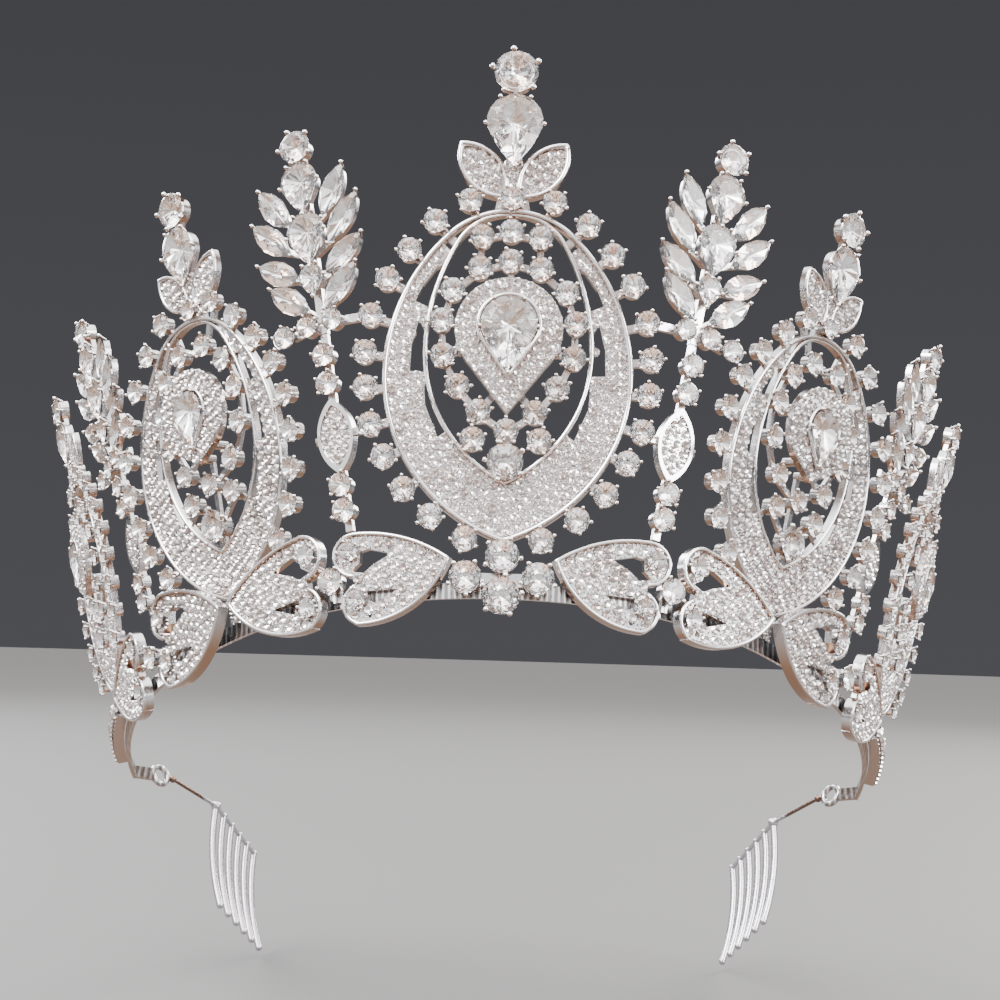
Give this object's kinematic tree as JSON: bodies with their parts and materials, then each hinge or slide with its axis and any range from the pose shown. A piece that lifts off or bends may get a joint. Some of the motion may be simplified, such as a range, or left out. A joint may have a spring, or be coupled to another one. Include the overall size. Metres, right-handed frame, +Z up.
{
  "type": "rhinestone tiara",
  "caption": "Crystal tiara: a curved inner band with petal wings, standing medallions with pear and round stones, leaf sprays, end bars and two wire side combs.",
  "frame": {"origin": "middle of the oval on which the tiara sits, at the height of the band's upper line beside the ears' axis; the wearer's head is below and behind it", "axes": "+X to the right of a viewer who faces the tiara, +Y to the back of the head, +Z up; the tiara is tipped up at the front as it is worn"},
  "size_m": [0.1574, 0.1154, 0.1444],
  "materials": {
    "bright_metal": "bright plated, polished rims",
    "band_metal": "bright plated",
    "comb_wire": "plated wire, satin bright",
    "crystal": "cut clear crystal with a mirrored back"
  },
  "bodies": {
    "root": {"base_band": "band_metal", "medallion_front": "bright_metal", "medallion_left": "bright_metal", "medallion_right": "bright_metal", "medallion_rear_left": "bright_metal", "medallion_rear_right": "bright_metal", "spray_left": "bright_metal", "spray_right": "bright_metal", "spray_rear_left": "bright_metal", "spray_rear_right": "bright_metal", "wing_front_left": "bright_metal", "wing_front_right": "bright_metal", "wing_middle_left": "bright_metal", "wing_middle_right": "bright_metal", "wing_side_left": "bright_metal", "wing_side_right": "bright_metal", "wing_rear_left": "bright_metal", "wing_rear_right": "bright_metal", "cluster_setting": "bright_metal", "end_bar_left": "bright_metal", "end_bar_right": "bright_metal", "comb_left": "comb_wire", "comb_right": "comb_wire", "ring_stones_front": "crystal", "ring_stones_left": "crystal", "ring_stones_right": "crystal", "inner_stones_front": "crystal", "inner_stones_left": "crystal", "inner_stones_right": "crystal", "pear_front": "crystal", "pear_left": "crystal", "pear_right": "crystal", "pear_rear_left": "crystal", "pear_rear_right": "crystal", "crown_pear_front": "crystal", "crown_pear_left": "crystal", "crown_pear_right": "crystal", "crown_pear_rear_left": "crystal", "crown_pear_rear_right": "crystal", "top_stone_front": "crystal", "top_stone_left": "crystal", "top_stone_right": "crystal", "top_stone_rear_left": "crystal", "top_stone_rear_right": "crystal", "spray_stones_left": "crystal", "spray_stones_right": "crystal", "spray_stones_rear_left": "crystal", "spray_stones_rear_right": "crystal", "cluster_stones": "crystal", "link_stones": "crystal"}
  },
  "joints": []
}
